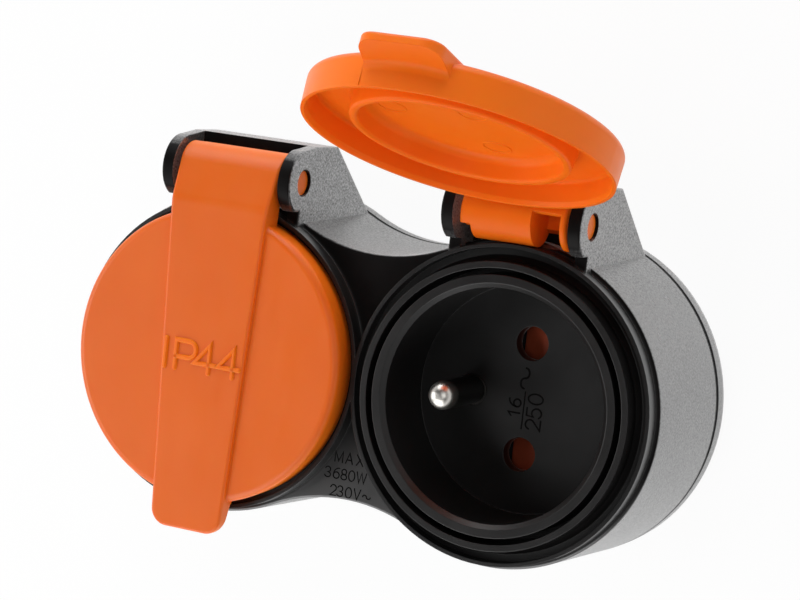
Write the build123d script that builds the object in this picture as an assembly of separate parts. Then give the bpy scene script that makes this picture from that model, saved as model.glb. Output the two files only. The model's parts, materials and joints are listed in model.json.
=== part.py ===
"""Two-way outdoor socket head, type E, with hinged lids. It lies on its rear cover, sockets up.

X runs along both sockets, away from the cord inlet. Y runs towards the lid hinges.
Z points out of the sockets. The origin is the middle of the flat rear face. Millimetres.
"""
import os
from math import acos, atan2, cos, pi, radians, sin, sqrt

from build123d import *

# Sockets
recess_r = 19.5             # plug recess
pin_hole_r = 2.9            # holes for the plug pins
pin_spacing = 19.0          # from one pin hole to the other
earth_offset = 10.0         # earth pin to the line of the pin holes
earth_r = 2.4
earth_seat_r = 2.6          # seat of the earth pin in the floor
earth_length = 14.0         # earth pin above the socket floor

# Heights above the rear face
parting_z = 6.5             # joint of cover and housing
cavity_top_z = 27.5         # top of the housing's cavity, outside the wells
floor_z = 22.5              # face of the socket floor
ledge_z = 32.0              # shoulder of the housing
collar_z = 35.0             # edge of the collar round each lid
rim_z = 37.3                # rims of the sockets
lid_z = 39.0                # outer face of a shut lid

# Housing
shoulder = 1.65             # round end of the housing beyond the collar, at the parting line
waist_r = 30.0              # hollow of the waist between the ends
draft = 2.0                 # draft of the outer wall, degrees
wall = 2.6                  # outer wall at the parting line
well_wall = 2.3             # wall round each recess
floor_t = 2.5               # socket floor
ledge_round = 0.4
rim_chamfer = 0.8
rim_w = 2.2                 # first rim, round the recess
groove_w = 1.1
groove_depth = 7.0
rim_root = 1.0              # rims run this far into the shoulder
second_rim_w = 1.1
collar_overlap = 0.5        # collars run into each other between the sockets
collar_w = 0.7
seat_rise = 0.9             # cone that the lid's lip closes over
seat_w = 0.9
joint_gap = 0.4             # shadow gap along the parting line

# Rear cover
cover_t = 2.0               # back wall
cover_round = 3.9           # rounding of the rear edge
tongue_gap = 0.2            # tongue of the cover to the housing's wall
tongue_t = 1.4
tongue_rise = 2.4           # tongue above the parting line
seal_inset = 0.9            # seal behind the outer wall
seal_w = 1.2
cradle_w = 2.0              # rests under the bars

# Cover screws
screw_inset = 7.0           # inside the round ends
screw_angle = 45.0
screw_r = 1.4
screw_head_r = 2.8
screw_head_h = 1.7
screw_length = 16.0
screw_clear = 0.15
cross_l = 3.2               # cross recess in the head
cross_w = 0.8
cross_depth = 1.0
boss_r = 3.2

# Cord inlet
inlet_z = 15.0
inlet_length = 5.0          # nozzle beyond the housing's end
inlet_bore = 6.2
inlet_wall = 1.2
grommet_bore = 4.9
grommet_flange_r = 7.2
grommet_flange_t = 1.3

# Lid
lid_gap = 0.75              # lid to collar
lid_wall = 0.9
lid_lean = 0.2              # outer face wider than the open edge
lip_clear = 0.3             # lid to second rim
lid_clear = 0.3             # lid to rims
lid_round = 1.3
lip_gap = 0.4               # lip to the floor of its channel
lip_drop = 0.1              # lip below the hinge axis
lip_chamfer = 0.8           # lead-in inside the open edge
lip_flat = 0.6              # land of the open edge
plug_clear = 1.8            # ring that enters the recess, at its edge
plug_w = 1.3
plug_h = 3.4
plug_lean = 0.4             # each wall of the ring leans by this
panel_t = 1.0               # middle of the lid, inside the ring
panel_round = 1.5           # hollow corner round the middle
gutter_round = 0.7          # hollow corners between ring and lip

# Strap and tab on the lid
strap_rise = 0.9            # strap above the lid's face
strap_hinge_w = 19.5
strap_tab_w = 13.4
strap_root = 0.7            # strap sunk into the lid
strap_round = 0.5           # rounding of the strap's edges
tab_length = 5.0            # tab beyond the lid's edge
tab_t = 1.4                 # edge of the tab
tab_root_t = 2.9            # tab where it leaves the lid
tab_hollow = 1.5            # hollow corner between tab and lid
tab_round = 3.0

# Hinge
hinge_y = 31.3
hinge_z = 33.3
open_angle = 111.0
barrel_r = 4.6
barrel_clear = 0.25
ramp_length = 5.0           # strap slopes down to the barrel over this length
bend_round = 5.0            # bend of the strap above the slope
stub_r = 2.15
stub_clear = 0.2
stub_recess = 0.5           # stub's end behind the ear's face
stub_root = 0.5             # stub sunk into the barrel
solid_barrel_x = 3.3        # solid part of the barrel ends here
snap_ear_x = 8.4            # thin ear that carries the right stub starts here
barrel_skin = 1.4
shoulder_w = 2.3            # cut-back end of the barrel, round the stop
shoulder_r = 2.7
snap_cut_from = 181.0       # opening below the snap-in ear, degrees about the hinge
snap_cut_to = 350.0
snap_cut_r = 0.5            # the opening starts this far from the hinge axis
stop_from = 230.0           # stop block on the left ear, degrees about the hinge
stop_to = 250.0
stop_slack = 2.0

# Hinge bracket
bracket_w = 24.8
bracket_root = 5.0          # bracket reaches inside the collar by this
ear_t = 2.2
ear_round = 0.4
nose_r = 5.5
nose_cut = 4.9              # flat underside of the nose, below the hinge axis
stem_front = 0.7            # stem of the ear, ahead of the hinge axis
hood_rise = 6.1             # top of the hood above the hinge axis
hood_front = 4.3            # hood behind the hinge axis
hood_back = 11.8
hood_wall = 2.0
hood_mouth = 2.0            # hollow of the hood opens this far inside the wall

# Contacts
strip_t = 0.8
strip_w = 5.0
strip_z = 7.0               # underside of the line and neutral bars
sleeve_r = 3.3
sleeve_bore = 2.35
sleeve_top_z = 14.3
sleeve_slot = 1.2
sleeve_foot = 1.5           # unsplit foot of the sleeve
terminal_reach = 10.0       # line and neutral terminals, beyond the left socket
earth_terminal_reach = 16.5
terminal_w = 6.0
earth_strip_z = 13.0
earth_flange_r = 3.8
earth_flange_t = 1.4
earth_tail_r = 1.5
earth_step = 0.6            # shoulder that the bar is riveted against
rivet_w = 0.8               # riveted head beyond the tail
tail_clear = 0.05
floor_clear = 0.05
terminal_screw_r = 1.5
terminal_head_r = 2.8
terminal_head_h = 1.8
slot_w = 0.8                # screwdriver slot
slot_depth = 0.8
terminal_screw_length = 4.4

# Shutters
shutter_back = 3.4          # edge on the earth side of the pin holes
shutter_front = 4.4
shutter_t = 3.2
shutter_lip = 0.6           # thin edge at the foot of the ramps
shutter_ramp_w = 7.0
shutter_bar_w = 2.2
shutter_root = 0.1          # ramps run this far into the bar
shutter_travel = 6.0
shutter_clear = 0.2
spring_seat_x = 14.5
spring_seat_w = 8.0
spring_r = 1.35             # middle of the wire
spring_wire_r = 0.25
spring_turns = 5
spring_steps = 10           # straight runs in each turn
guide_t = 1.4
guide_over = 1.0            # guides reach past the end of the travel
retainer_t = 1.4
retainer_hole_r = 3.4
retainer_back = 6.0
retainer_screw_x = 5.0
retainer_screw_r = 0.9
retainer_head_r = 1.8
retainer_head_h = 1.1
retainer_screw_length = 4.6
retainer_boss_r = 2.4

# Places worked out from the sizes above
groove_r = recess_r + rim_w
second_rim_r = groove_r + groove_w + second_rim_w
lip_r = second_rim_r + lip_clear + lid_wall
lid_r = lip_r + lid_lean
collar_r = lid_r + lid_gap + collar_w
lobe_r = collar_r + shoulder
half = collar_r - collar_overlap / 2
plug_r = recess_r - plug_clear
screw_circle = lobe_r - screw_inset
terminal_x = half + terminal_reach
earth_terminal_x = half + earth_terminal_reach
shutter_w = pin_spacing + shutter_ramp_w
retainer_screw_y = shutter_w / 2 + shutter_clear + 2 * guide_t
ceiling_z = floor_z - floor_t
guide_z = ceiling_z - shutter_t - 2 * shutter_clear
retainer_z = guide_z - retainer_t
guide_end = shutter_front + shutter_travel + guide_over
housing_z = parting_z + joint_gap / 2
cover_z = parting_z - joint_gap / 2
waist_y = sqrt((lobe_r + waist_r) ** 2 - half ** 2)
ear_out = bracket_w / 2
ear_in = ear_out - ear_t
sides = {"left": -half, "right": half}
hinge_axis = Axis((0, hinge_y, hinge_z), (1, 0, 0))
screw_x = half + screw_circle * cos(radians(screw_angle))
screw_y = screw_circle * sin(radians(screw_angle))
screw_places = [(i * screw_x, j * screw_y) for i in (-1, 1) for j in (-1, 1)]
terminal_places = [(-terminal_x, -pin_spacing / 2), (-terminal_x, pin_spacing / 2)]
low = (Align.CENTER, Align.CENTER, Align.MIN)


# Helpers

def outline(grow):
    """Two round ends joined by a hollow waist, grown by an offset."""
    end_r = lobe_r + grow
    hollow_r = waist_r - grow
    reach = end_r / (end_r + hollow_r)
    x = half * (1 - reach)
    y = waist_y * reach
    neck = waist_y - hollow_r
    with BuildSketch() as sketch:
        with BuildLine():
            ThreePointArc((x, -y), (half + end_r, 0), (x, y))
            ThreePointArc((x, y), (0, neck), (-x, y))
            ThreePointArc((-x, y), (-half - end_r, 0), (-x, -y))
            ThreePointArc((-x, -y), (0, -neck), (x, -y))
        make_face()
    return sketch.sketch


def prism(face, z0, z1):
    """Face in plan, drawn up from one height to another."""
    return extrude(Pos(0, 0, z0) * face, z1 - z0, dir=(0, 0, 1))


def upright(r, z0, z1, x=0, y=0):
    """Upright cylinder."""
    return Pos(x, y, z0) * Cylinder(r, z1 - z0, align=low)


def lying(r, x0, x1, y, z):
    """Cylinder along X."""
    return Pos(x0, y, z) * Rot(0, 90, 0) * Cylinder(r, x1 - x0, align=low)


def block(x0, x1, y0, y1, z0, z1):
    """Box between two corners."""
    return Pos(x0, y0, z0) * Box(x1 - x0, y1 - y0, z1 - z0, align=(Align.MIN,) * 3)


def turned(points, x=0, y=0):
    """Profile of radius and height, turned about an upright axis."""
    profile = Plane.XZ * Polygon(*points, align=None)
    return Pos(x, y, 0) * revolve(profile, Axis.Z, 360)


def side_prism(points, x0, x1):
    """Profile of Y and Z, drawn along X."""
    profile = Plane.YZ.offset(x0) * Polygon(*points, align=None)
    return extrude(profile, x1 - x0, dir=(1, 0, 0))


def hinge_sector(r0, r1, start, stop, x0, x1):
    """Part of a ring about the hinge axis. Degrees run from +Y to +Z."""
    steps = [radians(start + (stop - start) * i / 4) for i in range(5)]

    def at(radius, angle):
        return (hinge_y + radius * cos(angle), hinge_z + radius * sin(angle))

    with BuildSketch(Plane.YZ.offset(x0)) as sketch:
        with BuildLine():
            ThreePointArc(at(r1, steps[0]), at(r1, steps[2]), at(r1, steps[4]))
            Line(at(r1, steps[4]), at(r0, steps[4]))
            ThreePointArc(at(r0, steps[4]), at(r0, steps[2]), at(r0, steps[0]))
            Line(at(r0, steps[0]), at(r1, steps[0]))
        make_face()
    return extrude(sketch.sketch, x1 - x0, dir=(1, 0, 0))


# Front housing

def make_ear():
    """One ear, on the right: a round nose on a stem with a sloping back, its outer edge rounded."""
    foot_y = sqrt(lobe_r ** 2 - ear_out ** 2)
    root_y = collar_r - bracket_root
    stem_z = hinge_z + stem_front
    stem = Polygon(
        (hinge_y + hood_rise, hinge_z - hood_front),
        (hinge_y + hood_rise, hinge_z - hood_back),
        (foot_y, housing_z),
        (root_y, housing_z),
        (root_y, stem_z),
        (hinge_y, stem_z),
        (hinge_y + nose_r, hinge_z),
        align=None,
    )
    nose = Pos(hinge_y, hinge_z) * Circle(nose_r)
    nose -= Pos(hinge_y - nose_cut, stem_z) * Rectangle(nose_r, nose_r, align=(Align.MAX, Align.MIN))
    plane = Plane.YZ.offset(ear_in)
    ear = extrude(plane * stem, ear_t, dir=(1, 0, 0)) + extrude(plane * nose, ear_t, dir=(1, 0, 0))
    return fillet(ear.faces().sort_by(Axis.X)[-1].edges(), ear_round)


def bracket():
    """Hood and two ears that carry one lid, for a socket on the origin."""
    foot_y = sqrt(lobe_r ** 2 - ear_out ** 2)
    root_y = collar_r - bracket_root
    hood = [
        (hinge_y + hood_rise, hinge_z - hood_front),
        (hinge_y + hood_rise, hinge_z - hood_back),
        (foot_y, housing_z),
        (root_y, housing_z),
        (root_y, hinge_z - hood_front),
    ]
    ear = make_ear()
    return ear + mirror(ear, Plane.YZ) + side_prism(hood, -ear_in, ear_in)


def barrel_pocket():
    """Room for the lid's barrel between the ears, and the holes for its stubs."""
    pocket = lying(barrel_r + barrel_clear, -ear_in, ear_in, hinge_y, hinge_z)
    return pocket + lying(stub_r + stub_clear, -ear_out, ear_out, hinge_y, hinge_z)


def lid_stop():
    """Block on the left ear that the opened lid comes to rest on."""
    return hinge_sector(shoulder_r + barrel_clear, barrel_r, stop_from, stop_to,
                        -ear_in, -ear_in + shoulder_w - barrel_clear)


def hood_core():
    """Hollow of the hood, open to the housing's cavity."""
    foot_y = sqrt(lobe_r ** 2 - ear_out ** 2)
    top_z = hinge_z - hood_front - 2 * hood_wall
    points = [
        (hinge_y + hood_rise - hood_wall, top_z),
        (hinge_y + hood_rise - hood_wall, hinge_z - hood_back + hood_wall),
        (foot_y - hood_wall / 2, housing_z + 2 * hood_wall),
        (foot_y - wall - hood_mouth, housing_z + 2 * hood_wall),
        (foot_y - wall - hood_mouth, top_z),
    ]
    return side_prism(points, -ear_in, ear_in)


def socket_rims():
    """Rims, groove, lid channel and collar of one socket."""
    second_in = groove_r + groove_w
    channel_r = collar_r - collar_w
    channel_z = lip_z() - lip_gap
    points = [
        (recess_r, ledge_z - rim_root),
        (collar_r, ledge_z - rim_root),
        (collar_r, collar_z),
        (channel_r, collar_z),
        (channel_r, channel_z),
        (second_rim_r + seat_w, channel_z),
        (second_rim_r, channel_z + seat_rise),
        (second_rim_r, rim_z),
        (recess_r + rim_chamfer, rim_z),
        (recess_r, rim_z - rim_chamfer),
    ]
    rims = turned(points)
    foot_z = rim_z - groove_depth
    return rims - (upright(second_in, foot_z, rim_z) - upright(groove_r, foot_z, rim_z))


def groove_below():
    """Part of the groove that runs on below the rims."""
    z0 = rim_z - groove_depth
    return upright(groove_r + groove_w, z0, ledge_z) - upright(groove_r, z0, ledge_z)


def shutter_guides():
    """Ribs and bosses under one socket floor that guide its shutter."""
    side_y = shutter_w / 2 + shutter_clear
    ribs = block(spring_seat_x, spring_seat_x + guide_t, -spring_seat_w / 2, spring_seat_w / 2,
                 guide_z, ceiling_z)
    for s in (-1, 1):
        y0, y1 = sorted((s * side_y, s * (side_y + guide_t)))
        ribs += block(-retainer_back, guide_end, y0, y1, guide_z, ceiling_z)
        ribs += upright(retainer_boss_r, guide_z, ceiling_z, retainer_screw_x, s * retainer_screw_y)
    return ribs


def floor_holes():
    """Holes through one socket floor and the pilot holes of its retainer."""
    holes = upright(earth_seat_r + floor_clear, ceiling_z, floor_z, -earth_offset)
    pilot_top = guide_z + retainer_screw_length - retainer_t
    for s in (-1, 1):
        holes += upright(pin_hole_r, ceiling_z, floor_z, 0, s * pin_spacing / 2)
        holes += upright(retainer_screw_r, guide_z, pilot_top, retainer_screw_x, s * retainer_screw_y)
    return holes


def make_front_housing():
    """Moulded housing with wells, rims, brackets and inlet."""
    body = extrude(Pos(0, 0, housing_z) * outline(0), ledge_z - housing_z, dir=(0, 0, 1), taper=draft)
    body = fillet(body.edges().group_by(Axis.Z)[-1], ledge_round)
    end_x = -half - lobe_r - inlet_length
    body += lying(inlet_bore + inlet_wall, end_x, -half - recess_r, 0, inlet_z)
    for x in sides.values():
        body += Pos(x, 0, 0) * bracket()
        body -= upright(collar_r, ledge_z, lid_z, x)

    cavity = prism(outline(-wall), housing_z, cavity_top_z)
    for x in sides.values():
        cavity += Pos(x, 0, 0) * hood_core()
        cavity -= upright(recess_r + well_wall, ceiling_z, cavity_top_z, x)
    for x, y in screw_places:
        cavity -= upright(boss_r, housing_z, cavity_top_z, x, y)
    body -= cavity

    for x in sides.values():
        body += Pos(x, 0, 0) * socket_rims()
        body -= Pos(x, 0, 0) * barrel_pocket()
        body += Pos(x, 0, 0) * lid_stop()
        body -= upright(recess_r, floor_z, rim_z, x)
        body -= Pos(x, 0, 0) * groove_below()
        body += Pos(x, 0, 0) * shutter_guides()
        body -= Pos(x, 0, 0) * floor_holes()
    for x, y in screw_places:
        body -= upright(screw_r + screw_clear, housing_z, screw_length + 1, x, y)
    body -= lying(inlet_bore, end_x, -half - recess_r - well_wall, 0, inlet_z)
    return body


# Rear cover, its seal and its screws

def make_rear_cover():
    """Back shell with a tongue into the housing, screw posts and cradles for the bars."""
    shell = prism(outline(0), 0, cover_z)
    shell = fillet(shell.edges().group_by(Axis.Z)[0], cover_round)
    shell -= prism(outline(-wall), cover_t, cover_z)
    tongue_out = -wall - tongue_gap
    tongue = prism(outline(tongue_out), cover_t, parting_z + tongue_rise)
    tongue -= prism(outline(tongue_out - tongue_t), cover_t, parting_z + tongue_rise)
    inlet_end = -half - lobe_r
    tongue -= lying(grommet_flange_r + tongue_gap, inlet_end, inlet_end + 2 * lobe_r, 0, inlet_z)
    shell += tongue
    for x, y in screw_places:
        shell -= upright(boss_r + tongue_gap, cover_z, parting_z + tongue_rise, x, y)
        shell += upright(boss_r, cover_t / 2, cover_z, x, y)
        shell -= upright(screw_r + screw_clear, 0, cover_z, x, y)
        shell -= Pos(x, y, 0) * screw_head(screw_clear)
    for x in (-half, 0, half):
        for s in (-1, 1):
            y = s * pin_spacing / 2
            shell += block(x - cradle_w / 2, x + cradle_w / 2, y - strip_w / 2, y + strip_w / 2,
                           cover_t / 2, strip_z)
    return shell


def screw_head(grow):
    """Countersunk head, its flat face on the origin."""
    return Cone(screw_head_r + grow, screw_r + grow, screw_head_h, align=low)


def make_cover_seal():
    """Flat seal between cover and housing."""
    inside = prism(outline(-seal_inset - seal_w), cover_z, housing_z)
    return prism(outline(-seal_inset), cover_z, housing_z) - inside


def make_cover_screws():
    """Four countersunk screws with a cross recess."""
    screw = screw_head(0) + upright(screw_r, 0, screw_length)
    for angle in (0, 90):
        screw -= Rot(0, 0, angle) * Pos(0, 0, cross_depth / 2) * Box(cross_l, cross_w, cross_depth)
    return Compound(children=[Pos(x, y, 0) * screw for x, y in screw_places])


# Lids

def lip_z():
    """Height of a shut lid's open edge."""
    return hinge_z - lip_drop


def lid_cap():
    """Round cap with a chamfered lip, and a ring round its hollow middle that enters the recess."""
    inner_r = lip_r - lid_wall
    under_z = rim_z + lid_clear
    edge_z = under_z - plug_h
    panel_z = lid_z - panel_t
    plug_in = plug_r - plug_w
    points = [
        (0, panel_z),
        (plug_in - plug_lean, panel_z),
        (plug_in, edge_z),
        (plug_r, edge_z),
        (plug_r + plug_lean, under_z),
        (inner_r, under_z),
        (inner_r, lip_z() + lip_chamfer),
        (lip_r - lip_flat, lip_z()),
        (lip_r, lip_z()),
        (lid_r, lid_z - lid_round),
        (lid_r, lid_z),
        (0, lid_z),
    ]
    edge_round = plug_w * 0.45
    sizes = {1: panel_round, 2: edge_round, 3: edge_round, 4: gutter_round, 5: gutter_round,
             10: lid_round * 0.95}
    profile = Polygon(*points, align=None)
    for corner, size in sizes.items():
        profile = fillet(profile.vertices().sort_by_distance(points[corner])[0], size)
    return revolve(Plane.XZ * profile, Axis.Z, 360)


def strap_plan():
    """Outline of strap and tab seen from the front."""
    tab_y = -lid_r - tab_length
    top_y = hinge_y + barrel_r + strap_round
    a = strap_tab_w / 2
    b = strap_hinge_w / 2
    face = Polygon((-a, tab_y), (a, tab_y), (b, top_y), (-b, top_y), align=None)
    return fillet(face.vertices().group_by(Axis.Y)[0], tab_round)


def strap_profile():
    """Side view of tab, strap, hinge leaf and barrel."""
    tab_y = -lid_r - tab_length
    top_z = lid_z + strap_rise
    leaf_z = collar_z + lid_clear
    corner = (-ramp_length, top_z - hinge_z)
    reach = sqrt(corner[0] ** 2 + corner[1] ** 2)
    touch = atan2(corner[1], corner[0]) - acos(barrel_r / reach)
    root_y = lip_r - strap_hinge_w / 4
    slope = (tab_root_t - tab_t) / tab_length
    bend = (hinge_y - ramp_length, top_z)
    face = Polygon(
        (tab_y, top_z - tab_t),
        (-root_y, top_z - tab_root_t - slope * (lid_r - root_y)),
        (-root_y, lid_z - strap_root),
        (root_y, lid_z - strap_root),
        (root_y, leaf_z),
        (hinge_y - barrel_r / 2, leaf_z),
        (hinge_y, hinge_z),
        (hinge_y + barrel_r * cos(touch), hinge_z + barrel_r * sin(touch)),
        bend,
        (tab_y, top_z),
        align=None,
    )
    face = fillet(face.vertices().sort_by_distance(bend)[0], bend_round)
    return face + Pos(hinge_y, hinge_z) * Circle(barrel_r)


def make_strap():
    """Tapered strap with rounded edges, from the tab to the barrel."""
    side_x = strap_hinge_w / 2
    top_z = lid_z + strap_rise
    strap = extrude(Plane.YZ.offset(-side_x) * strap_profile(), 2 * side_x, dir=(1, 0, 0))
    strap &= prism(strap_plan(), 0, 2 * lid_z)
    top_edges = strap.edges().filter_by_position(Axis.Z, top_z, top_z)
    rim = top_edges.filter_by_position(Axis.Y, -2 * lid_r, lid_r / 2)
    strap = fillet(rim, strap_round)
    return strap - upright(lip_r - lid_wall / 2, 0, lid_z - strap_root)


def make_lid():
    """Shut lid for a socket on the origin: cap, strap, barrel and snap-in stubs."""
    side_x = strap_hinge_w / 2
    strap = make_strap()
    hollow = lying(barrel_r - barrel_skin, solid_barrel_x, snap_ear_x, hinge_y, hinge_z)
    hollow += hinge_sector(snap_cut_r, barrel_r + 1, snap_cut_from, snap_cut_to, solid_barrel_x, snap_ear_x)
    strap -= hollow
    cut_to = stop_to + open_angle + stop_slack
    strap -= hinge_sector(shoulder_r, barrel_r + 1, stop_from - stop_slack, cut_to,
                          -side_x, -side_x + shoulder_w)
    lid = lid_cap() + strap
    tab_corner = (0, -lid_r, lid_z + strap_rise - tab_root_t)
    lid = fillet(lid.edges().sort_by_distance(tab_corner)[0], tab_hollow)
    stub_end = ear_out - stub_recess
    for s in (-1, 1):
        x0, x1 = sorted((s * stub_end, s * (side_x - stub_root)))
        lid += lying(stub_r, x0, x1, hinge_y, hinge_z)
    return lid


# Contacts

def make_bar(y):
    """Brass bar with a split sleeve for one pin of each plug and a tapped end."""
    edge = strip_w / 2
    top = strip_z + strip_t
    bar = block(-terminal_x, half + sleeve_r, y - edge, y + edge, strip_z, top)
    bar += block(-terminal_x - terminal_w / 2, -terminal_x + terminal_w / 2,
                 y - terminal_w / 2, y + terminal_w / 2, strip_z, top)
    bar -= upright(terminal_screw_r, strip_z, top, -terminal_x, y)
    for x in sides.values():
        sleeve = upright(sleeve_r, top, sleeve_top_z, x, y)
        sleeve -= upright(sleeve_bore, top, sleeve_top_z, x, y)
        sleeve -= block(x - sleeve_slot / 2, x + sleeve_slot / 2, y - sleeve_r, y + sleeve_r,
                        top + sleeve_foot, sleeve_top_z)
        bar += sleeve
        bar -= upright(sleeve_bore, strip_z, top, x, y)
    return bar


def make_earth_bar():
    """Brass bar that joins both earth pins, with a tapped end."""
    edge = strip_w / 2
    top = earth_strip_z + strip_t
    end_x = half - earth_offset + earth_flange_r
    bar = block(-earth_terminal_x - terminal_w / 2, end_x, -edge, edge, earth_strip_z, top)
    for x in sides.values():
        bar -= upright(earth_tail_r + tail_clear, earth_strip_z, top, x - earth_offset)
    return bar - upright(terminal_screw_r, earth_strip_z, top, -earth_terminal_x)


def make_earth_pin(x):
    """Plated pin with a domed tip, a flange under the floor and a riveted tail."""
    tip_z = floor_z + earth_length
    flange_z = ceiling_z - earth_flange_t
    points = [
        (0, earth_strip_z - rivet_w),
        (earth_tail_r + rivet_w, earth_strip_z - rivet_w),
        (earth_tail_r + rivet_w, earth_strip_z),
        (earth_tail_r, earth_strip_z),
        (earth_tail_r, earth_strip_z + strip_t),
        (earth_tail_r + earth_step, earth_strip_z + strip_t),
        (earth_tail_r + earth_step, flange_z),
        (earth_flange_r, flange_z),
        (earth_flange_r, ceiling_z),
        (earth_seat_r, ceiling_z),
        (earth_seat_r, floor_z),
        (earth_r, floor_z),
        (earth_r, tip_z),
        (0, tip_z),
    ]
    pin = turned(points, x - earth_offset)
    tip = pin.edges().filter_by(GeomType.CIRCLE).sort_by(Axis.Z)[-1]
    return fillet(tip, earth_r * 0.9)


def make_terminal_screws():
    """Three pan-head screws, one in the tapped end of each bar."""
    screws = []
    for x, y in terminal_places:
        screws.append(terminal_screw(x, y, strip_z + strip_t))
    screws.append(terminal_screw(-earth_terminal_x, 0, earth_strip_z + strip_t))
    return Compound(children=screws)


def terminal_screw(x, y, seat_z):
    """Slotted pan-head screw seated at a height."""
    top = seat_z + terminal_head_h
    screw = upright(terminal_head_r, seat_z, top, x, y)
    screw += upright(terminal_screw_r - tail_clear, seat_z - terminal_screw_length, seat_z, x, y)
    return screw - block(x - terminal_head_r, x + terminal_head_r, y - slot_w / 2, y + slot_w / 2,
                         top - slot_depth, top)


# Shutters

def make_shutter(x):
    """Slide with a ramp under each pin hole and a spigot for its spring."""
    top = ceiling_z - shutter_clear
    foot = top - shutter_t
    bar_x = shutter_front - shutter_bar_w
    slide = block(bar_x, shutter_front, -shutter_w / 2, shutter_w / 2, foot, top)
    ramp = Plane.XZ * Polygon((-shutter_back, foot), (bar_x + shutter_root, foot),
                              (bar_x + shutter_root, top),
                              (-shutter_back, foot + shutter_lip), align=None)
    for s in (-1, 1):
        middle = s * pin_spacing / 2
        slide += Pos(0, middle - shutter_ramp_w / 2, 0) * extrude(ramp, shutter_ramp_w, dir=(0, 1, 0))
    return Pos(x, 0, 0) * slide


def make_shutter_spring(x):
    """Compression spring between a shutter and its seat."""
    start = shutter_front + spring_wire_r
    length = spring_seat_x - spring_wire_r - start
    z = ceiling_z - shutter_clear - shutter_t / 2
    steps = spring_turns * spring_steps
    turn = 2 * pi / spring_steps
    path = Polyline([(spring_r * cos(i * turn), spring_r * sin(i * turn), length * i / steps)
                     for i in range(steps + 1)])
    wire = Plane(path @ 0, z_dir=path % 0) * RegularPolygon(spring_wire_r, 8)
    coil = sweep(wire, path, transition=Transition.RIGHT)
    return Pos(x + start, 0, z) * Rot(0, 90, 0) * coil


def make_shutter_retainer(x):
    """Plate under one shutter, open where the plug pins pass."""
    y1 = shutter_w / 2 + shutter_clear + guide_t
    plate = block(-retainer_back, guide_end, -y1, y1, retainer_z, guide_z)
    plate += block(0, spring_seat_x + guide_t, -spring_seat_w / 2, spring_seat_w / 2, retainer_z, guide_z)
    for s in (-1, 1):
        screw_y = s * retainer_screw_y
        plate += upright(retainer_boss_r, retainer_z, guide_z, retainer_screw_x, screw_y)
        plate -= upright(retainer_screw_r + screw_clear, retainer_z, guide_z, retainer_screw_x, screw_y)
        plate -= upright(retainer_hole_r, retainer_z, guide_z, 0, s * pin_spacing / 2)
    return Pos(x, 0, 0) * plate


def make_retainer_screws():
    """Four small screws that hold both retainers."""
    screw = upright(retainer_head_r, retainer_z - retainer_head_h, retainer_z)
    tip_z = retainer_z + retainer_screw_length - tail_clear
    screw += upright(retainer_screw_r - tail_clear, retainer_z, tip_z)
    places = [(x + retainer_screw_x, s * retainer_screw_y) for x in sides.values() for s in (-1, 1)]
    return Compound(children=[Pos(x, y, 0) * screw for x, y in places])


# Inlet

def make_inlet_grommet():
    """Rubber grommet with a flange on each side of the nozzle."""
    nozzle_x = -half - lobe_r - inlet_length
    inside_x = -half - lobe_r + wall
    outer = nozzle_x - grommet_flange_t
    inner = inside_x + grommet_flange_t
    grommet = lying(inlet_bore, outer, inner, 0, inlet_z)
    grommet += lying(grommet_flange_r, outer, nozzle_x, 0, inlet_z)
    return grommet - lying(grommet_bore, outer, inner, 0, inlet_z)


# The whole head

def make_parts():
    """Every piece by name, in its place."""
    lid = make_lid()
    opened = lid.rotate(hinge_axis, -open_angle)
    parts = {
        "front_housing": make_front_housing(),
        "rear_cover": make_rear_cover(),
        "cover_seal": make_cover_seal(),
        "cover_screws": make_cover_screws(),
        "left_lid": Pos(-half, 0, 0) * lid,
        "right_lid": Pos(half, 0, 0) * opened,
        "line_bar": make_bar(-pin_spacing / 2),
        "neutral_bar": make_bar(pin_spacing / 2),
        "earth_bar": make_earth_bar(),
        "terminal_screws": make_terminal_screws(),
        "retainer_screws": make_retainer_screws(),
        "inlet_grommet": make_inlet_grommet(),
    }
    for side, x in sides.items():
        parts[side + "_earth_pin"] = make_earth_pin(x)
        parts[side + "_shutter"] = make_shutter(x)
        parts[side + "_shutter_spring"] = make_shutter_spring(x)
        parts[side + "_shutter_retainer"] = make_shutter_retainer(x)
    return parts


os.makedirs("parts", exist_ok=True)
for name, piece in make_parts().items():
    export_step(piece, f"parts/{name}.step")
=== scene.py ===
"""Dresses the two-way socket head: finishes, springs, marks, floor, light and camera."""
import json
import math

import bmesh
import bpy
from mathutils import Matrix, Vector

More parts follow.
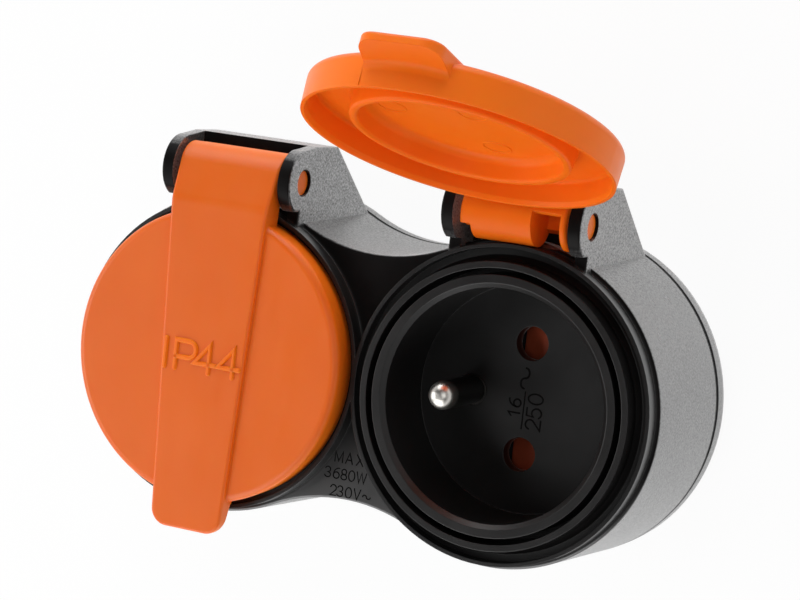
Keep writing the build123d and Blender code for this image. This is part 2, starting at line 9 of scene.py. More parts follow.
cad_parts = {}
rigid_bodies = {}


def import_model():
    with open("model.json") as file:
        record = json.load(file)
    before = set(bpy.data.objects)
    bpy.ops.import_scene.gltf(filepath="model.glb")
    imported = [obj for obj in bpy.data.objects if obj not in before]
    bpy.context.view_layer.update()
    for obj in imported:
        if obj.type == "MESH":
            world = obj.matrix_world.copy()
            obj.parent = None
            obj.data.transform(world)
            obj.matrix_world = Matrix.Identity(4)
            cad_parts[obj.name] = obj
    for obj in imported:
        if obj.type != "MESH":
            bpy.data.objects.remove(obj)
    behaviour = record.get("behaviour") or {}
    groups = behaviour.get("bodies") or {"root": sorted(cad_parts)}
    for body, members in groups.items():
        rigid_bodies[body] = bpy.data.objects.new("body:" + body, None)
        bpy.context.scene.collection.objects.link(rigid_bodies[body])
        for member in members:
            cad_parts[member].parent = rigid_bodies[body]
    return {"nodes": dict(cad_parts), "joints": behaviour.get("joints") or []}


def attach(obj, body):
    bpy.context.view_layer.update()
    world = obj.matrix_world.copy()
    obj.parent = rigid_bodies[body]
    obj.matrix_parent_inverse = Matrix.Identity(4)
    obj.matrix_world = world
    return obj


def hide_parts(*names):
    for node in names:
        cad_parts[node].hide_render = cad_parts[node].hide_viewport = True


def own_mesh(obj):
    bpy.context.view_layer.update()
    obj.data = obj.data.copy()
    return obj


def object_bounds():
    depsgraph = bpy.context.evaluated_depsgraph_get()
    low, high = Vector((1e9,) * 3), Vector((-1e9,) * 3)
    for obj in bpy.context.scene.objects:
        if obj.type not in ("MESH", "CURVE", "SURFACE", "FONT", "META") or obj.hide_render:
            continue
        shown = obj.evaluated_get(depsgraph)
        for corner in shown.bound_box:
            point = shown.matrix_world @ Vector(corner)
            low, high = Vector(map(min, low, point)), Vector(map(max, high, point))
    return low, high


for left_over in list(bpy.data.objects):
    bpy.data.objects.remove(left_over)
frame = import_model()
cad_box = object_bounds()

# Places on the part, in metres
MM = 0.001
NODES = frame["nodes"]
JOINTS = {joint["name"]: joint for joint in frame["joints"]}
HALF_PITCH, HINGE_Y, HINGE_Z = JOINTS["right_lid_hinge"]["pos_m"]
SIDES = {"left": -HALF_PITCH, "right": HALF_PITCH}
FLOOR_Z = cad_box[0][2]
STRAP_TOP = 0.0399
PANEL_UNDER = 0.0380
SKIRT_R = 0.0252
SEAM_FOOT = 0.0335
SEAM_ANGLE = math.radians(253.5)
WELL_FLOOR = 0.0225
LEDGE = 0.0320
PARTING_Z = 0.0065

# The left lid is shut at rest and the right one is open
OPEN_ANGLE = math.radians(JOINTS["left_lid_hinge"]["range_deg"][1])
OPEN_TURN = (Matrix.Translation((0, HINGE_Y, HINGE_Z))
             @ Matrix.Rotation(OPEN_ANGLE, 4, Vector((-1, 0, 0)))
             @ Matrix.Translation((0, -HINGE_Y, -HINGE_Z)))
LID_TURN = {"left": Matrix.Identity(4), "right": OPEN_TURN}
LID_OUT = {side: turn.to_3x3() @ Vector((0, 0, 1)) for side, turn in LID_TURN.items()}

# Ranges over which a finish changes, in metres where they are places
RISE = (0.0, 1.0)
FALL = (1.0, 0.0)
NOISE_RANGE = (0.3, 0.7)
ORANGE_RANGE = (0.3, 0.5, 0.72)
METAL_RANGE = (0.32, 0.66)
COLLAR_R = (0.0260, 0.0262)
GRAIN_R = (0.0269, 0.0272)
GRAIN_Z = (0.019, 0.021)
PARTING_HALF = (0.00064, 0.00074)
STEEP_NORMAL = (0.35, 0.75)
LEDGE_LIGHT_Y = (-0.022, -0.006)
PAINTED_SHEEN_Y = (-0.020, 0.016)
RELIEF_Y = (0.0, 0.014)
EAR_Y = (0.018, 0.024)
LID_FACE = (-0.3, 0.6)
LID_WALL = (0.25, 0.85)
PAINTED_WELL_SHADE_Z = (0.0330, 0.0352)

# Strengths in the finishes
MID_GRAIN = 0.6
LEAST_GRAIN = 0.08
COLLAR_SHINE = 0.45
INSIDE_GLOSS = 0.10
# Painted light on the lids' walls: how much lighter their colour is made than on the faces
PAINTED_WALL_RED = 1.2
PAINTED_WALL_GREEN = 1.35
MOST_RED = 0.95
PAINTED_WELL_SHADE = 0.06
BEVEL_SAMPLES = 6


# Node helpers

def new_material(name, **sockets):
    """A material with a Principled shader, whose constant sockets are set here."""
    mat = bpy.data.materials.new(name)
    mat.use_nodes = True
    shader = mat.node_tree.nodes["Principled BSDF"]
    for socket, value in sockets.items():
        shader.inputs[socket.replace("_", " ")].default_value = value
    return mat, mat.node_tree, shader


def add(tree, kind, **props):
    """A new node with its properties set."""
    node = tree.nodes.new(kind)
    for key, value in props.items():
        setattr(node, key, value)
    return node


def feed(tree, value, socket):
    """Sets a socket to a number, or links it to another node's output."""
    if isinstance(value, (int, float)):
        socket.default_value = value
    else:
        tree.links.new(value, socket)


def noise(tree, coords, scale, detail=2.0, rough=0.5, stretch=None):
    """Noise in the part's own metres, with its grain stretched where that is given."""
    node = add(tree, "ShaderNodeTexNoise")
    node.inputs["Scale"].default_value = scale
    node.inputs["Detail"].default_value = detail
    node.inputs["Roughness"].default_value = rough
    if stretch:
        mapping = add(tree, "ShaderNodeMapping")
        mapping.inputs["Scale"].default_value = stretch
        tree.links.new(coords, mapping.inputs["Vector"])
        coords = mapping.outputs["Vector"]
    tree.links.new(coords, node.inputs["Vector"])
    return node.outputs["Fac"]


def ramp(tree, value, colours, places=NOISE_RANGE):
    """Colours by value, each with the value that it belongs to."""
    node = add(tree, "ShaderNodeValToRGB")
    while len(node.color_ramp.elements) < len(colours):
        node.color_ramp.elements.new(0.5)
    for element, place, colour in zip(node.color_ramp.elements, places, colours):
        element.position = place
        element.color = (*colour, 1.0)
    tree.links.new(value, node.inputs["Fac"])
    return node.outputs["Color"]


def spread(tree, value, to, at=NOISE_RANGE):
    """A value moved from one range to another and kept inside it."""
    node = add(tree, "ShaderNodeMapRange")
    node.inputs["From Min"].default_value, node.inputs["From Max"].default_value = at
    node.inputs["To Min"].default_value, node.inputs["To Max"].default_value = to
    tree.links.new(value, node.inputs["Value"])
    return node.outputs["Result"]


def math_node(tree, operation, *values):
    """One operation on one or two values."""
    node = add(tree, "ShaderNodeMath", operation=operation)
    for socket, value in zip(node.inputs, values):
        feed(tree, value, socket)
    return node.outputs["Value"]


def chain(tree, operation, first, *others):
    """Values joined one after another by the same operation."""
    for value in others:
        first = math_node(tree, operation, first, value)
    return first


def mixture(tree, first, second, share):
    """A share of the first value with the rest from the second."""
    return math_node(tree, "ADD", math_node(tree, "MULTIPLY", first, share),
                     math_node(tree, "MULTIPLY", second, 1.0 - share))


def bump(tree, height, strength, distance, normal=None):
    """A normal with relief, on top of another normal where one is given."""
    node = add(tree, "ShaderNodeBump")
    node.inputs["Distance"].default_value = distance
    feed(tree, strength, node.inputs["Strength"])
    tree.links.new(height, node.inputs["Height"])
    if normal:
        tree.links.new(normal, node.inputs["Normal"])
    return node.outputs["Normal"]


def soft_edge(tree, radius):
    """A normal that rounds the edges."""
    node = add(tree, "ShaderNodeBevel", samples=BEVEL_SAMPLES)
    node.inputs["Radius"].default_value = radius
    return node.outputs["Normal"]


def split(tree, vector):
    """X, Y and Z of a vector."""
    node = add(tree, "ShaderNodeSeparateXYZ")
    tree.links.new(vector, node.inputs["Vector"])
    return node.outputs


def coordinates(tree, kind):
    """Texture coordinates: the part's own metres, its normals or a direction."""
    return add(tree, "ShaderNodeTexCoord").outputs[kind]


# Materials

def black_plastic():
    """Near-black moulding: spark-eroded grain on its sides, smoother faces and sockets."""
    mat, tree, shader = new_material("black_moulding", IOR=2.0, Sheen_Roughness=0.32)
    coords = coordinates(tree, "Object")
    place = split(tree, coords)
    upness = split(tree, coordinates(tree, "Normal"))["Z"]
    tone = noise(tree, coords, scale=90.0, detail=4.0, rough=0.6)
    shades = ((0.0042, 0.0038, 0.0038), (0.0072, 0.0064, 0.0064))
    tree.links.new(ramp(tree, tone, shades), shader.inputs["Base Color"])

    # Grain covers the sides outside the collars, apart from the parting line, where a band wider
    # than the real gap loses its grain, gloss and sheen as a painted shadow gap.
    across = math_node(tree, "SUBTRACT", math_node(tree, "ABSOLUTE", place["X"]), HALF_PITCH)
    squares = [math_node(tree, "POWER", way, 2.0) for way in (across, place["Y"])]
    radius = math_node(tree, "SQRT", math_node(tree, "ADD", *squares))
    outside = spread(tree, radius, RISE, GRAIN_R)
    below = spread(tree, place["Z"], FALL, GRAIN_Z)
    grained = math_node(tree, "MAXIMUM", outside, below)
    from_joint = math_node(tree, "SUBTRACT", place["Z"], PARTING_Z)
    clear = spread(tree, math_node(tree, "ABSOLUTE", from_joint), RISE, PARTING_HALF)
    steep = spread(tree, upness, FALL, STEEP_NORMAL)
    sideways = chain(tree, "MULTIPLY", grained, steep, clear)
    upward = math_node(tree, "SUBTRACT", grained, sideways)
    collar = math_node(tree, "SUBTRACT", spread(tree, radius, RISE, COLLAR_R), outside)

    fine = noise(tree, coords, scale=3000.0, rough=0.6)
    mid = noise(tree, coords, scale=1300.0)
    grain = math_node(tree, "ADD", fine, math_node(tree, "MULTIPLY", mid, MID_GRAIN))
    relief = spread(tree, place["Y"], (0.95, 0.15), RELIEF_Y)
    gain = math_node(tree, "MAXIMUM", math_node(tree, "MULTIPLY", sideways, relief), LEAST_GRAIN)
    rounded = soft_edge(tree, radius=0.00022)
    normal = bump(tree, grain, strength=gain, distance=0.00006, normal=rounded)
    tree.links.new(normal, shader.inputs["Normal"])

    # Gloss and haze follow the grain, with specks that are coarser on the hinge ears. Painted
    # light is added on top: a painted highlight on the collars' walls, painted light and shade on
    # the ledge and painted sheen growing towards +Y.
    coarse = math_node(tree, "MULTIPLY", sideways, spread(tree, place["Y"], (0.35, 0.75), EAR_Y))
    speck = math_node(tree, "MULTIPLY", coarse, spread(tree, fine, (-1.0, 1.0)))
    # Painted light and shade on the ledge: more gloss towards -Y and less in the shade between the
    # collars.
    ledge_light_and_shade = math_node(tree, "MULTIPLY", upward, spread(tree, place["Y"], (0.30, -0.14), LEDGE_LIGHT_Y))
    # Painted highlight: extra gloss on the collars' outer walls.
    shine = chain(tree, "MULTIPLY", collar, steep, COLLAR_SHINE)
    gloss = chain(tree, "ADD", spread(tree, sideways, (0.16, 1.0), RISE), shine, speck, ledge_light_and_shade)
    tree.links.new(gloss, shader.inputs["Specular IOR Level"])
    # Painted sheen: the sheen on the sides grows from -Y to +Y, lighter on the waist and back
    # walls.
    painted_sheen = math_node(tree, "MULTIPLY", sideways, spread(tree, place["Y"], (0.45, 1.0), PAINTED_SHEEN_Y))
    tree.links.new(math_node(tree, "ADD", painted_sheen, speck), shader.inputs["Sheen Weight"])
    rough = math_node(tree, "ADD", spread(tree, tone, (-0.03, 0.04)),
                      spread(tree, sideways, (0.35, 0.30), RISE))
    tree.links.new(rough, shader.inputs["Roughness"])
    return mat


def orange_plastic(name, outward, gain=1.0, yellow=1.0, gloss=0.40):
    """Satin orange moulding: flow pattern, fine grain, polished inside and painted light on its
    walls.
    """
    mat, tree, shader = new_material(name, IOR=1.5, Subsurface_Weight=0.25,
                                     Subsurface_Scale=0.0015, Subsurface_Radius=(1.0, 0.22, 0.04))
    coords = coordinates(tree, "Object")
    tone = noise(tree, coords, scale=55.0, detail=3.0, rough=0.55)
    flow = noise(tree, coords, scale=300.0, detail=3.0, rough=0.6, stretch=(1.0, 0.3, 1.0))
    shades = ((0.71, 0.119, 0.0046), (0.73, 0.126, 0.0052), (0.75, 0.133, 0.0060))
    colours = [(r * gain, g * gain * yellow, b) for r, g, b in shades]
    colour = ramp(tree, mixture(tree, tone, flow, share=0.75), colours, ORANGE_RANGE)

    # How far a face looks out of the lid: 1 on its top, 0 on its walls and -1 inside.
    facing = add(tree, "ShaderNodeVectorMath", operation="DOT_PRODUCT")
    facing.inputs[1].default_value = outward
    tree.links.new(coordinates(tree, "Normal"), facing.inputs[0])
    out = facing.outputs["Value"]
    tree.links.new(spread(tree, out, (INSIDE_GLOSS, gloss), LID_FACE),
                   shader.inputs["Specular IOR Level"])
    # Painted light: the lid's walls get a lighter, paler colour than its faces, a painted
    # highlight along them.
    flat = math_node(tree, "ABSOLUTE", out)
    most = max(red for red, green, blue in colours)
    painted_wall_red = min(PAINTED_WALL_RED, MOST_RED / most)
    painted_tint = add(tree, "ShaderNodeCombineXYZ")
    for socket, wall in (("X", painted_wall_red), ("Y", PAINTED_WALL_GREEN), ("Z", PAINTED_WALL_GREEN)):
        tree.links.new(spread(tree, flat, (wall, 1.0), LID_WALL), painted_tint.inputs[socket])
    added_light = add(tree, "ShaderNodeVectorMath", operation="MULTIPLY")
    tree.links.new(colour, added_light.inputs[0])
    tree.links.new(painted_tint.outputs["Vector"], added_light.inputs[1])
    tree.links.new(added_light.outputs["Vector"], shader.inputs["Base Color"])

    fine = noise(tree, coords, scale=2600.0, rough=0.55)
    wave = noise(tree, coords, scale=160.0)
    rounded = soft_edge(tree, radius=0.00025)
    grained = bump(tree, fine, strength=0.22, distance=0.00005, normal=rounded)
    normal = bump(tree, wave, strength=0.05, distance=0.0004, normal=grained)
    tree.links.new(normal, shader.inputs["Normal"])
    tree.links.new(spread(tree, flow, (0.33, 0.42)), shader.inputs["Roughness"])
    return mat


def moulded(name, clouds, shades, grain, strength, distance, edge, rough, **sockets):
    """A plain moulding: cloudy colour, fine grain and a roughness that follows the clouds."""
    mat, tree, shader = new_material(name, **sockets)
    coords = coordinates(tree, "Object")
    tone = noise(tree, coords, **clouds)
    tree.links.new(ramp(tree, tone, shades), shader.inputs["Base Color"])
    rounded = soft_edge(tree, edge) if edge else None
    normal = bump(tree, noise(tree, coords, **grain), strength, distance, rounded)
    tree.links.new(normal, shader.inputs["Normal"])
    tree.links.new(spread(tree, tone, rough), shader.inputs["Roughness"])
    return mat


def metal(name, dark, light, scale, stretch, rough, relief, painted_shade_below=None):
    """Bare or plated metal with tool marks along one way, with painted shade below a height if one
    is given.
    """
    mat, tree, shader = new_material(name, Metallic=1.0)
    coords = coordinates(tree, "Object")
    marks = noise(tree, coords, scale, detail=4.0, rough=0.65, stretch=stretch)
    stain = noise(tree, coords, scale=380.0, detail=3.0, rough=0.55)
    mixed = mixture(tree, marks, stain, share=0.5)
    colour = ramp(tree, mixed, (dark, light), METAL_RANGE)
    # Painted shade: below the given height the colour darkens, for the shade down in the well.
    if painted_shade_below:
        shade_fade = spread(tree, split(tree, coords)["Z"], (PAINTED_WELL_SHADE, 1.0), painted_shade_below)
        painted_tint = add(tree, "ShaderNodeVectorMath", operation="SCALE")
        tree.links.new(colour, painted_tint.inputs["Vector"])
        tree.links.new(shade_fade, painted_tint.inputs["Scale"])
        colour = painted_tint.outputs["Vector"]
    tree.links.new(colour, shader.inputs["Base Color"])
    tree.links.new(spread(tree, marks, rough), shader.inputs["Roughness"])
    rounded = soft_edge(tree, radius=0.00012)
    normal = bump(tree, marks, strength=relief, distance=0.00004, normal=rounded)
    tree.links.new(normal, shader.inputs["Normal"])
    return mat


ORANGE = {side: orange_plastic(f"{side}_lid_moulding", out) for side, out in LID_OUT.items()}
# The raised letters get a lighter, yellower copy of the lid's orange: a painted highlight on them.
LIT_ORANGE_LETTERS = {side: orange_plastic(f"{side}_lid_letters_painted_highlight", out, gain=1.18, yellow=1.10, gloss=0.3)
               for side, out in LID_OUT.items()}
MARK = moulded(
    "black_mark", clouds={"scale": 900.0},
    shades=((0.0015, 0.0013, 0.0013), (0.0028, 0.0024, 0.0024)), grain={"scale": 3000.0},
    strength=0.1, distance=0.00003, edge=None, rough=(0.55, 0.7), Specular_IOR_Level=0.06)
FINISH = {
    "black_plastic": black_plastic(),
    "shutter_plastic": moulded(
        "shutter_moulding", clouds={"scale": 240.0, "detail": 3.0, "rough": 0.6},
        shades=((0.26, 0.044, 0.018), (0.35, 0.061, 0.025)), grain={"scale": 2800.0},
        strength=0.12, distance=0.00004, edge=0.0002, rough=(0.38, 0.52), Specular_IOR_Level=0.4),
    "inner_plastic": moulded(
        "inner_moulding", clouds={"scale": 130.0, "detail": 4.0, "rough": 0.6},
        shades=((0.012, 0.012, 0.013), (0.020, 0.020, 0.021)), grain={"scale": 2200.0},
        strength=0.14, distance=0.00005, edge=0.0002, rough=(0.48, 0.6), Specular_IOR_Level=0.25),
    "rubber": moulded(
        "black_rubber", clouds={"scale": 300.0, "detail": 4.0, "rough": 0.6},
        shades=((0.010, 0.010, 0.010), (0.020, 0.019, 0.018)),
        grain={"scale": 1900.0, "detail": 3.0}, strength=0.25, distance=0.00006, edge=0.0003,
        rough=(0.66, 0.8), Specular_IOR_Level=0.3, Sheen_Weight=0.12, Sheen_Roughness=0.6),
    "brass": metal(
        "stamped_brass", dark=(0.56, 0.36, 0.12), light=(0.80, 0.58, 0.25), scale=900.0,
        stretch=(1, 0.12, 1), rough=(0.24, 0.42), relief=0.15),
    "nickel": metal(
        "plated_nickel", dark=(0.62, 0.59, 0.54), light=(0.82, 0.80, 0.76), scale=1500.0,
        stretch=(0.2, 0.2, 3), rough=(0.28, 0.38), relief=0.1, painted_shade_below=PAINTED_WELL_SHADE_Z),
    "steel": metal(
        "zinc_steel", dark=(0.46, 0.46, 0.48), light=(0.70, 0.70, 0.72), scale=1100.0,
        stretch=(1, 1, 0.3), rough=(0.26, 0.45), relief=0.15),
}

for name, node in NODES.items():
    side = name.split("_")[0]
    for index, old in enumerate(node.data.materials):
        slot = old.name.split(".")[0]
        node.data.materials[index] = ORANGE[side] if slot == "orange_plastic" else FINISH[slot]


# Springs

def squeezed_spring(side):
    """Return spring of a shutter, as its own copy of the part's spring on the head."""
    node = f"{side}_shutter_spring"
    spring = bpy.data.objects.new(f"{side}_return_spring", NODES[node].data.copy())
    bpy.context.scene.collection.objects.link(spring)
    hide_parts(node)
    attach(spring, "head")
    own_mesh(spring)


for side in SIDES:
    squeezed_spring(side)


# Marks: strokes of an own line font

MITRE_LIMIT = 0.45
END_STEPS = 6
DRAFT_SHARE = 0.25
SAME_POINT = 1e-9


def arc(cx, cy, rx, ry, start, end, count=10):
    """Points round an ellipse, in degrees."""
    turns = [math.radians(start + (end - start) * i / count) for i in range(count + 1)]
    return [(cx + rx * math.cos(t), cy + ry * math.sin(t)) for t in turns]


GLYPHS = {
    "I": [[(0, 0), (0, 1)]],
    "P": [[(0, 0), (0, 1), (0.50, 1)] + arc(0.50, 0.71, 0.29, 0.29, 90, -90)[1:] + [(0, 0.42)]],
    "4": [[(0.57, 0), (0.57, 1), (0, 0.3), (0.81, 0.3)]],
    "0": [arc(0.32, 0.5, 0.32, 0.5, 90, 450, 20)],
    "1": [[(0, 0.74), (0.28, 1), (0.28, 0)]],
    "2": [arc(0.31, 0.7, 0.30, 0.30, 170, -35) + [(0, 0), (0.62, 0)]],
    "3": [arc(0.28, 0.745, 0.27, 0.255, 160, -90)
          + arc(0.28, 0.245, 0.31, 0.245, 90, -160)[1:]],
    "5": [[(0.58, 1), (0.10, 1), (0.05, 0.53)] + arc(0.29, 0.33, 0.31, 0.33, 130, -150)],
    "6": [arc(0.55, 0.32, 0.54, 0.68, 85, 180)[:-1] + arc(0.31, 0.31, 0.31, 0.31, 180, 540, 16)],
    "8": [arc(0.31, 0.75, 0.25, 0.25, -90, 270, 16), arc(0.31, 0.25, 0.30, 0.25, 90, 450, 16)],
    "A": [[(0, 0), (0.36, 1), (0.72, 0)], [(0.12, 0.33), (0.60, 0.33)]],
    "M": [[(0, 0), (0, 1), (0.40, 0.1), (0.80, 1), (0.80, 0)]],
    "V": [[(0, 1), (0.34, 0), (0.68, 1)]],
    "W": [[(0, 1), (0.25, 0), (0.5, 0.95), (0.75, 0), (1, 1)]],
    "X": [[(0, 0), (0.68, 1)], [(0, 1), (0.68, 0)]],
    "~": [arc(0.2, 0.42, 0.2, 0.16, 180, 0, 8) + arc(0.6, 0.42, 0.2, 0.16, 180, 360, 8)[1:]],
    "-": [[(0, 0), (1, 0)]],
    "ring": [arc(0, 0, 0.5, 0.5, 0, 360, 28)],
}


def side_points(line, half, closed):
    """Points at a distance to the left of a line, with mitred corners."""
    points = []
    count = len(line)
    for i, here in enumerate(line):
        before = line[i - 1] if i or closed else None
        after = line[(i + 1) % count] if i + 1 < count or closed else None
        pairs = [(p, q) for p, q in ((before, here), (here, after)) if None not in (p, q)]
        ways = [(q - p).normalized() for p, q in pairs]
        normals = [Vector((-w.y, w.x)) for w in ways]
        mean = sum(normals, Vector((0, 0))).normalized()
        points.append(here + mean * half / max(mean.dot(normals[0]), MITRE_LIMIT))
    return points


def round_end(end, inner, half):
    """Points round the end of a stroke, from its left side to its right."""
    way = (end - inner).normalized()
    across = Vector((-way.y, way.x))
    turns = [math.pi * i / END_STEPS for i in range(1, END_STEPS)]
    return [end + across * half * math.cos(t) + way * half * math.sin(t) for t in turns]


def add_stroke(bm, line, width, low, high, draft, place):
    """One stroke as a closed bar whose sides lean in."""
    line = [Vector(p) for p in line]
    closed = (line[0] - line[-1]).length < SAME_POINT
    if closed:
        line = line[:-1]
    rings = []
    for z, half in ((low, width / 2), (high, width / 2 - draft)):
        rows = [side_points(line, half, closed), side_points(line, -half, closed)]
        if not closed:
            rows += [round_end(line[-1], line[-2], half), round_end(line[0], line[1], half)]
        rings.append([[bm.verts.new(place @ Vector((p.x, p.y, z))) for p in row] for row in rows])
    (low_l, low_r, *low_ends), (high_l, high_r, *high_ends) = rings
    count = len(line)
    for i in range(count if closed else count - 1):
        k = (i + 1) % count
        bm.faces.new((high_l[i], high_r[i], high_r[k], high_l[k]))
        bm.faces.new((low_l[k], low_r[k], low_r[i], low_l[i]))
        bm.faces.new((low_l[i], high_l[i], high_l[k], low_l[k]))
        bm.faces.new((low_r[k], high_r[k], high_r[i], low_r[i]))
    if closed:
        return
    left, right = (low_l, high_l), (low_r, high_r)
    for e, (at, start, stop) in enumerate(((-1, left, right), (0, right, left))):
        low_row = [start[0][at], *low_ends[e], stop[0][at]]
        high_row = [start[1][at], *high_ends[e], stop[1][at]]
        bm.faces.new(high_row)
        bm.faces.new(low_row[::-1])
        for i in range(len(low_row) - 1):
            bm.faces.new((low_row[i], low_row[i + 1], high_row[i + 1], high_row[i]))


def mark(name, letters, place, height, stroke, relief, sink, body, material, slot):
    """Letters as one mesh, each (character, x of its left edge, y of its foot) in millimetres."""
    bm = bmesh.new()
    draft = min(relief, stroke * DRAFT_SHARE)
    for character, x, y in letters:
        for line in GLYPHS[character]:
            points = [(x + px * height, y + py * height) for px, py in line]
            add_stroke(bm, points, stroke, -sink, relief, draft, place)
    bmesh.ops.recalc_face_normals(bm, faces=bm.faces)
    mesh = bpy.data.meshes.new(name)
    bm.to_mesh(mesh)
    bm.free()
    mesh.materials.append(material)
    piece = bpy.data.objects.new(name, mesh)
    bpy.context.scene.collection.objects.link(piece)
    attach(piece, body)


def axes_at(origin, right, up):
    """Matrix from millimetres on a face to metres in the frame."""
    right, up = Vector(right), Vector(up)
    out = right.cross(up)
    turn = Matrix((right, up, out)).transposed().to_4x4()
    return Matrix.Translation(Vector(origin)) @ turn @ Matrix.Scale(MM, 4)


def letter_row(text, lefts, foot):
    """Characters on one line, each with its left edge."""
    return [(character, x, foot) for character, x in zip(text, lefts)]


LID_LETTERS = letter_row("IP44", (-7.15, -5.1, -1.3, 3.35), -2.8)
LID_STYLE = {"height": 4.9, "stroke": 1.0, "relief": 0.40, "sink": 0.15}
EJECTORS = [("ring", -11.6, 2.5), ("ring", 2.5, 3.5), ("ring", 1.4, -11.0)]
EJECTOR_STYLE = {"height": 4.6, "stroke": 0.26, "relief": 0.12, "sink": 0.1}
SEAM = letter_row("-", (0,), 0)
SEAM_STYLE = {"height": 4.0, "stroke": 0.14, "relief": 0.05, "sink": 0.2}
WELL_MARKS = {
    "volts": (letter_row("250", (-4.95, -2.93, -0.62), -3.15), {"height": 2.7, "stroke": 0.36}),
    "amps": (letter_row("16", (-3.15, -1.55), 0.8), {"height": 2.1, "stroke": 0.36}),
    "line": (letter_row("-", (-5.1,), 0.2), {"height": 6.3, "stroke": 0.3}),
    "wave": (letter_row("~", (1.7,), -1.3), {"height": 4.4, "stroke": 0.4}),
}
WELL_DEPTH = {"relief": 0.06, "sink": 0.1}
LEDGE_MARKS = {
    "max": letter_row("MAX", (-3.05, -1.0, 1.05), -14.9),
    "watts": letter_row("3680W", (-4.65, -3.05, -1.6, -0.15, 1.4), -17.8),
    "volts": letter_row("230V~", (-3.3, -1.95, -0.4, 1.2, 2.9), -20.75),
}
LEDGE_STYLE = {"height": 1.8, "stroke": 0.28, "relief": 0.05, "sink": 0.1}
ON_HEAD = {"body": "head", "material": MARK, "slot": "black_plastic"}

seam_out = Vector((math.cos(SEAM_ANGLE), math.sin(SEAM_ANGLE), 0))
seam_up = Vector((0, 0, 1)).cross(seam_out) * -1
for side, x in SIDES.items():
    turn = LID_TURN[side]
    on_lid = {"body": f"{side}_lid_body", "slot": "orange_plastic"}
    top = turn @ axes_at((x, 0, STRAP_TOP), (1, 0, 0), (0, 1, 0))
    mark(f"{side}_lid_mark", LID_LETTERS, top, **LID_STYLE, material=LIT_ORANGE_LETTERS[side], **on_lid)
    under = turn @ axes_at((x, 0, PANEL_UNDER), (1, 0, 0), (0, -1, 0))
    mark(f"{side}_lid_ejectors", EJECTORS, under, **EJECTOR_STYLE, material=ORANGE[side], **on_lid)
    skirt = turn @ axes_at(Vector((x, 0, SEAM_FOOT)) + seam_out * SKIRT_R, (0, 0, 1), seam_up)
    mark(f"{side}_lid_seam", SEAM, skirt, **SEAM_STYLE, material=ORANGE[side], **on_lid)
    # The well's marks read along +Y, with their tops towards -X.
    well = axes_at((x, 0, WELL_FLOOR), (0, 1, 0), (-1, 0, 0))
    for row, (letters, style) in WELL_MARKS.items():
        mark(f"{side}_well_{row}", letters, well, **style, **WELL_DEPTH, **ON_HEAD)

ledge = axes_at((0, 0, LEDGE), (1, 0, 0), (0, 1, 0))
for row, letters in LEDGE_MARKS.items():
    mark(f"ledge_{row}", letters, ledge, **LEDGE_STYLE, **ON_HEAD)


# Floor, light and camera

FLOOR_HALF = 3.0
PAPER_GLOW = 0.93
PAPER_SHADES = ((0.90, 0.90, 0.90), (0.93, 0.93, 0.93))
LAMP_DISTANCE = 1.0
LAMP_AIM = Vector((0, 0, 0.03))
LAMPS = {
    "key": {"direction": (-0.22, -0.78, 0.58), "size": 0.9, "watts": 6.8},
    "back": {"direction": (-0.15, 0.90, 0.34), "size": 0.8, "watts": 5.5},
    "front": {"direction": (0.36, 0.08, 0.93), "size": 0.6, "watts": 1.4},
    "side": {"direction": (-0.78, -0.15, 0.60), "size": 0.5, "watts": 2.8},
}
ROOM_HEIGHTS = (0.22, 0.45, 0.72)
ROOM_SHADES = ((1.0, 1.0, 1.0), (0.5, 0.5, 0.5), (0.04, 0.04, 0.04))
CAMERA_PLACE = Vector((201.73, 67.37, 455.49)) * MM
CAMERA_RIGHT = Vector((0.8959, 0.1147, -0.4293))
CAMERA_UP = Vector((-0.1520, 0.9869, -0.0535))
SENSOR_WIDTH = 36.0
LENS = 126.0
CLIP_RANGE = (0.01, 20.0)


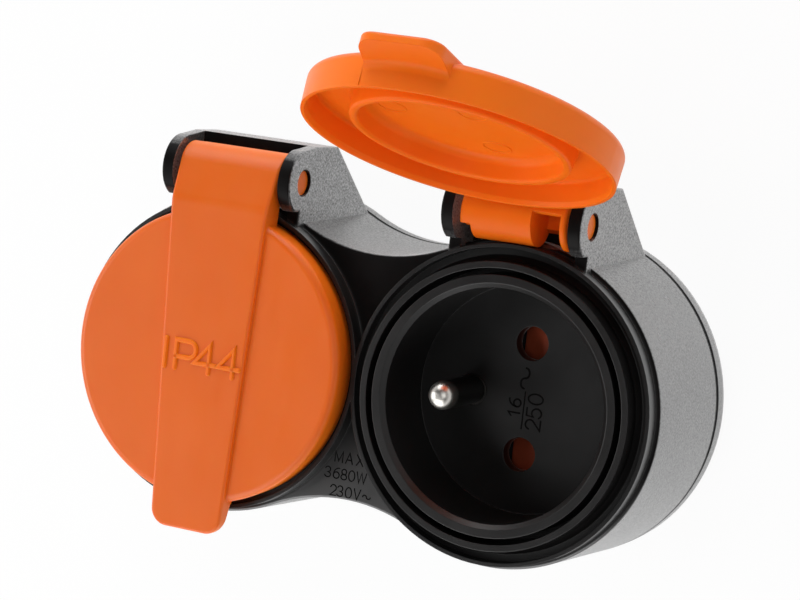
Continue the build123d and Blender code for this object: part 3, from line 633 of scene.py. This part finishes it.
def floor_material():
    """White paper that stays white to the eye and still takes the part's shadow."""
    mat, tree, shader = new_material("white_paper", Roughness=0.85, Specular_IOR_Level=0.1)
    output = tree.nodes["Material Output"]
    fibre = noise(tree, coordinates(tree, "Object"), scale=60.0, detail=4.0, rough=0.6)
    tree.links.new(ramp(tree, fibre, PAPER_SHADES), shader.inputs["Base Color"])
    added_light = add(tree, "ShaderNodeEmission")
    path = add(tree, "ShaderNodeLightPath").outputs
    rays = [path[ray] for ray in ("Is Camera Ray", "Is Glossy Ray", "Is Transmission Ray")]
    mix = add(tree, "ShaderNodeMixShader")
    seen = math_node(tree, "MULTIPLY", chain(tree, "MAXIMUM", *rays), PAPER_GLOW)
    tree.links.new(seen, mix.inputs["Fac"])
    tree.links.new(shader.outputs["BSDF"], mix.inputs[1])
    tree.links.new(added_light.outputs["Emission"], mix.inputs[2])
    tree.links.new(mix.outputs["Shader"], output.inputs["Surface"])
    return mat


def make_floor(half):
    """A wide sheet of studio paper under the part."""
    bm = bmesh.new()
    corners = ((-half, -half), (half, -half), (half, half), (-half, half))
    bm.faces.new([bm.verts.new((x, y, FLOOR_Z)) for x, y in corners])
    mesh = bpy.data.meshes.new("floor")
    bm.to_mesh(mesh)
    bm.free()
    mesh.materials.append(floor_material())
    sheet = bpy.data.objects.new("floor", mesh)
    bpy.context.scene.collection.objects.link(sheet)


def add_lamp(name, direction, size, watts):
    """A soft square lamp that faces the part from a direction."""
    data = bpy.data.lights.new(name, "AREA")
    data.shape = "SQUARE"
    data.size = size
    data.energy = watts
    lamp = bpy.data.objects.new(name, data)
    way = Vector(direction).normalized()
    lamp.location = way * LAMP_DISTANCE + LAMP_AIM
    lamp.rotation_euler = way.to_track_quat("Z", "Y").to_euler()
    bpy.context.scene.collection.objects.link(lamp)


def make_world():
    """A room that is white at the horizon and dark overhead."""
    world = bpy.data.worlds.new("studio")
    world.use_nodes = True
    sky = world.node_tree
    height = split(sky, coordinates(sky, "Generated"))["Z"]
    room = ramp(sky, height, ROOM_SHADES, ROOM_HEIGHTS)
    sky.links.new(room, sky.nodes["Background"].inputs["Color"])
    return world


def make_camera():
    """The camera at the photograph's angle."""
    data = bpy.data.cameras.new("camera")
    data.sensor_width = SENSOR_WIDTH
    data.lens = LENS
    data.clip_start, data.clip_end = CLIP_RANGE
    camera = bpy.data.objects.new("camera", data)
    back = CAMERA_RIGHT.cross(CAMERA_UP).normalized()
    up = back.cross(CAMERA_RIGHT).normalized()
    right = up.cross(back)
    turn = Matrix((right, up, back)).transposed().to_4x4()
    camera.matrix_world = Matrix.Translation(CAMERA_PLACE) @ turn
    bpy.context.scene.collection.objects.link(camera)
    return camera


make_floor(FLOOR_HALF)
for name, lamp in LAMPS.items():
    add_lamp(name, **lamp)
scene = bpy.context.scene
scene.world = make_world()
scene.view_settings.view_transform = "Standard"
scene.camera = make_camera()

bpy.context.view_layer.update()
